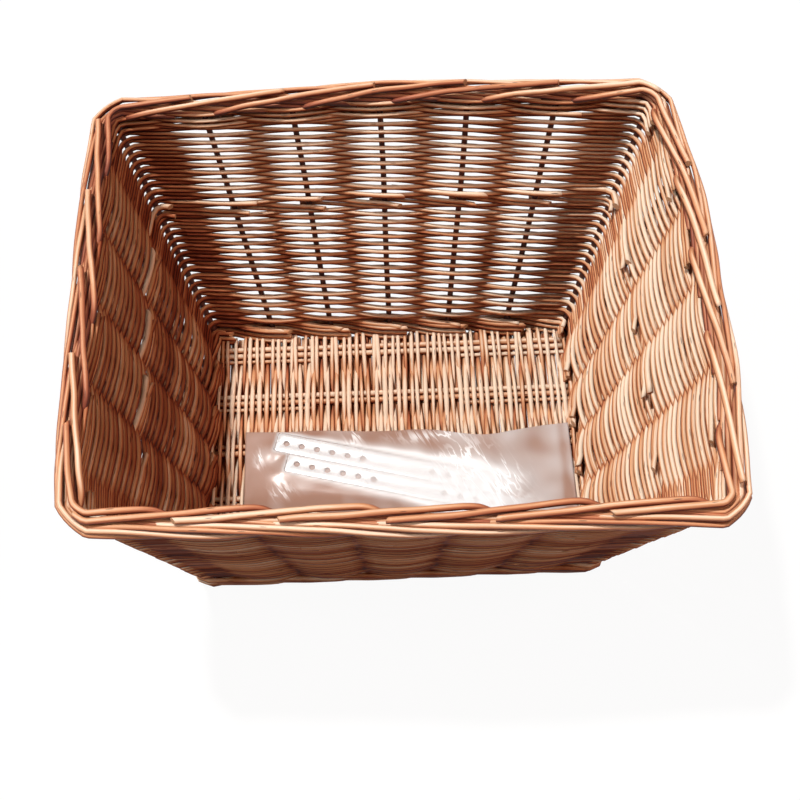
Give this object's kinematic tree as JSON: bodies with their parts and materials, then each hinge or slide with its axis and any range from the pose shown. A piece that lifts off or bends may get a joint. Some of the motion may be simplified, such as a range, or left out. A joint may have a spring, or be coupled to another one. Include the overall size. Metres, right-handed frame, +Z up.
{
  "type": "bicycle basket",
  "caption": "Tapered rectangular willow basket with woven sides, plaited border and slatted woven base, holding a clear bag of carrier fixing strips.",
  "frame": {"origin": "on the ground under the middle of the basket's foot", "axes": "+X to the right along the long sides, +Y to the back wall, +Z up"},
  "size_m": [0.4774, 0.3976, 0.2693],
  "materials": {
    "willow": "smooth boiled willow rods with a satin skin, warm orange brown with pale streaks and cut ends",
    "base_willow": "paler satin willow rods",
    "clear_film": "clear thin plastic film, glossy and creased",
    "galvanised_strip": "bright zinc, satin",
    "zinc_fastener": "bright zinc plating"
  },
  "bodies": {
    "basket": {"corner_post_front_left": "willow", "corner_post_front_right": "willow", "corner_post_back_right": "willow", "corner_post_back_left": "willow", "front_stake_1": "willow", "front_stake_2": "willow", "front_stake_3": "willow", "front_stake_4": "willow", "front_stake_5": "willow", "right_stake_1": "willow", "right_stake_2": "willow", "right_stake_3": "willow", "right_stake_4": "willow", "back_stake_1": "willow", "back_stake_2": "willow", "back_stake_3": "willow", "back_stake_4": "willow", "back_stake_5": "willow", "left_stake_1": "willow", "left_stake_2": "willow", "left_stake_3": "willow", "left_stake_4": "willow", "foot_wale": "willow", "siding_course_01": "willow", "siding_course_02": "willow", "siding_course_03": "willow", "siding_course_04": "willow", "siding_course_05": "willow", "siding_course_06": "willow", "siding_course_07": "willow", "siding_course_08": "willow", "siding_course_09": "willow", "siding_course_10": "willow", "siding_course_11": "willow", "siding_course_12": "willow", "border_strand_1": "willow", "border_strand_2": "willow", "base_stick_1a": "base_willow", "base_stick_1b": "base_willow", "base_stick_2a": "base_willow", "base_stick_2b": "base_willow", "base_stick_3a": "base_willow", "base_stick_3b": "base_willow", "base_stick_4a": "base_willow", "base_stick_4b": "base_willow", "base_stick_5a": "base_willow", "base_stick_5b": "base_willow", "base_weave": "base_willow"},
    "fitting_kit": {"fitting_bag": "clear_film", "fixing_strip_1": "galvanised_strip", "fixing_strip_2": "galvanised_strip", "fixing_bolt_1": "zinc_fastener", "fixing_bolt_2": "zinc_fastener", "fixing_bolt_3": "zinc_fastener", "fixing_bolt_4": "zinc_fastener", "fixing_nut_1": "zinc_fastener", "fixing_nut_2": "zinc_fastener", "fixing_nut_3": "zinc_fastener", "fixing_nut_4": "zinc_fastener"}
  },
  "joints": [
    {"name": "kit_lift", "type": "slide", "parent": "basket", "child": "fitting_kit", "axis": [0, 0, 1], "range_m": [0, 0.3]}
  ]
}
